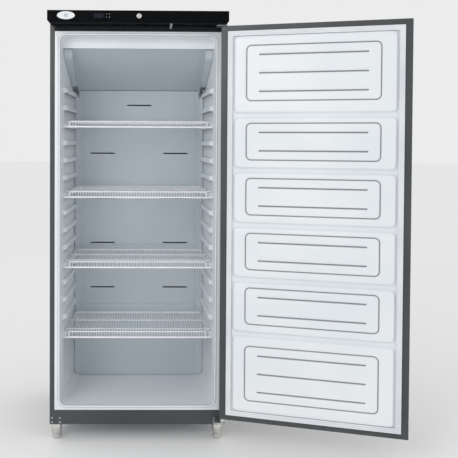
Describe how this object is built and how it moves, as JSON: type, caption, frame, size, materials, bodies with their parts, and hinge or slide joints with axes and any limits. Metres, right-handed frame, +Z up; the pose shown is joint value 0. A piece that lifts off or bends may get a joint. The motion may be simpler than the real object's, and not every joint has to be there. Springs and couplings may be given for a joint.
{
  "type": "upright freezer cabinet",
  "caption": "Upright single-door storage freezer with fan cooling, wire shelves on moulded runners, a lockable door, a controller in its black crown and adjustable bullet feet.",
  "frame": {"origin": "middle of the footprint of the whole object, open door included, on the floor under the feet", "axes": "+Z up, -Y the side that a person stands at to use it, +X to that person's right, where the door is hinged"},
  "size_m": [1.5122, 0.9054, 1.895],
  "materials": {
    "charcoal_paint": "satin",
    "galvanised_steel": "satin",
    "polished_steel": "polished",
    "liner_plastic": "satin",
    "coated_aluminium": "satin",
    "bare_aluminium": "satin",
    "crown_plastic": "satin",
    "black_plastic": "matte",
    "compressor_enamel": "satin",
    "display_window": "gloss",
    "insulating_foam": "matte",
    "gasket_vinyl": "matte",
    "coated_wire": "gloss",
    "copper_tube": "satin",
    "grey_plastic": "matte",
    "badge_white": "gloss",
    "nylon": "satin"
  },
  "bodies": {
    "cabinet": {"side_panel_left": "charcoal_paint", "side_panel_right": "charcoal_paint", "lower_front_rail": "charcoal_paint", "upper_front_rail": "charcoal_paint", "top_panel": "galvanised_steel", "back_panel": "galvanised_steel", "bottom_panel": "galvanised_steel", "inner_liner": "liner_plastic", "cabinet_foam": "insulating_foam", "rear_duct_panel": "coated_aluminium", "evaporator_cover": "coated_aluminium", "evaporator_fascia": "coated_aluminium", "evaporator_coil": "bare_aluminium", "evaporator_drip_pan": "bare_aluminium", "evaporator_fan_shroud": "black_plastic", "evaporator_fan_motor": "black_plastic", "temperature_probe": "grey_plastic", "crown_panel": "crown_plastic", "controller_body": "black_plastic", "controller_display": "display_window", "crown_badge": "badge_white", "lock_body": "polished_steel", "door_switch": "grey_plastic", "upper_hinge": "galvanised_steel", "lower_hinge": "galvanised_steel", "spare_hinge_plate": "galvanised_steel", "leg_front_left": "polished_steel", "leg_front_right": "polished_steel", "leg_rear_left": "polished_steel", "leg_rear_right": "polished_steel", "compressor_tray": "galvanised_steel", "compressor": "compressor_enamel", "condenser_coil": "copper_tube", "condenser_fan_shroud": "galvanised_steel", "condenser_fan_motor": "black_plastic", "evaporation_tray": "black_plastic", "rear_grille": "galvanised_steel", "cord_gland": "black_plastic"},
    "door": {"door_skin": "charcoal_paint", "door_liner": "liner_plastic", "door_foam": "insulating_foam", "door_gasket": "gasket_vinyl", "door_grip": "black_plastic", "door_bush_lower": "nylon", "door_bush_upper": "nylon"},
    "lock_barrel": {"lock_barrel": "polished_steel"},
    "key_up": {"key_up": "black_plastic"},
    "key_set": {"key_set": "black_plastic"},
    "key_down": {"key_down": "black_plastic"},
    "key_power": {"key_power": "black_plastic"},
    "evaporator_fan": {"evaporator_fan_blade": "black_plastic"},
    "condenser_fan": {"condenser_fan_blade": "black_plastic"},
    "shelf_1": {"wire_shelf_1": "coated_wire"},
    "shelf_2": {"wire_shelf_2": "coated_wire"},
    "shelf_3": {"wire_shelf_3": "coated_wire"},
    "shelf_4": {"wire_shelf_4": "coated_wire"},
    "foot_front_left": {"foot_front_left": "polished_steel"},
    "foot_front_right": {"foot_front_right": "polished_steel"},
    "foot_rear_left": {"foot_rear_left": "polished_steel"},
    "foot_rear_right": {"foot_rear_right": "polished_steel"}
  },
  "joints": [
    {"name": "door_hinge", "type": "hinge", "parent": "cabinet", "child": "door", "pos_m": [0.0101, -0.21527, 0.98], "axis": [0, 0, 1], "range_deg": [-164.4, 10]},
    {"name": "lock_turn", "type": "hinge", "parent": "cabinet", "child": "lock_barrel", "pos_m": [-0.3626, -0.22927, 1.87165], "axis": [0, 1, 0], "range_deg": [0, 90]},
    {"name": "key_up_press", "type": "slide", "parent": "cabinet", "child": "key_up", "axis": [0, 1, 0], "range_m": [0, 0.001], "stiffness_N_per_m": 600},
    {"name": "key_set_press", "type": "slide", "parent": "cabinet", "child": "key_set", "axis": [0, 1, 0], "range_m": [0, 0.001], "stiffness_N_per_m": 600},
    {"name": "key_down_press", "type": "slide", "parent": "cabinet", "child": "key_down", "axis": [0, 1, 0], "range_m": [0, 0.001], "stiffness_N_per_m": 600},
    {"name": "key_power_press", "type": "slide", "parent": "cabinet", "child": "key_power", "axis": [0, 1, 0], "range_m": [0, 0.001], "stiffness_N_per_m": 600},
    {"name": "evaporator_fan_spin", "type": "hinge", "parent": "cabinet", "child": "evaporator_fan", "pos_m": [-0.3666, 0.1767, 1.7159], "axis": [0, 1, 0], "continuous": true},
    {"name": "condenser_fan_spin", "type": "hinge", "parent": "cabinet", "child": "condenser_fan", "pos_m": [-0.5631, 0.3767, 0.178], "axis": [1, 0, 0], "continuous": true},
    {"name": "shelf_1_slide", "type": "slide", "parent": "cabinet", "child": "shelf_1", "axis": [0, -1, 0], "range_m": [0, 0.33]},
    {"name": "shelf_2_slide", "type": "slide", "parent": "cabinet", "child": "shelf_2", "axis": [0, -1, 0], "range_m": [0, 0.33]},
    {"name": "shelf_3_slide", "type": "slide", "parent": "cabinet", "child": "shelf_3", "axis": [0, -1, 0], "range_m": [0, 0.33]},
    {"name": "shelf_4_slide", "type": "slide", "parent": "cabinet", "child": "shelf_4", "axis": [0, -1, 0], "range_m": [0, 0.33]},
    {"name": "foot_front_left_screw", "type": "slide", "parent": "cabinet", "child": "foot_front_left", "axis": [0, 0, -1], "range_m": [0, 0.022]},
    {"name": "foot_front_right_screw", "type": "slide", "parent": "cabinet", "child": "foot_front_right", "axis": [0, 0, -1], "range_m": [0, 0.022]},
    {"name": "foot_rear_left_screw", "type": "slide", "parent": "cabinet", "child": "foot_rear_left", "axis": [0, 0, -1], "range_m": [0, 0.022]},
    {"name": "foot_rear_right_screw", "type": "slide", "parent": "cabinet", "child": "foot_rear_right", "axis": [0, 0, -1], "range_m": [0, 0.022]}
  ]
}
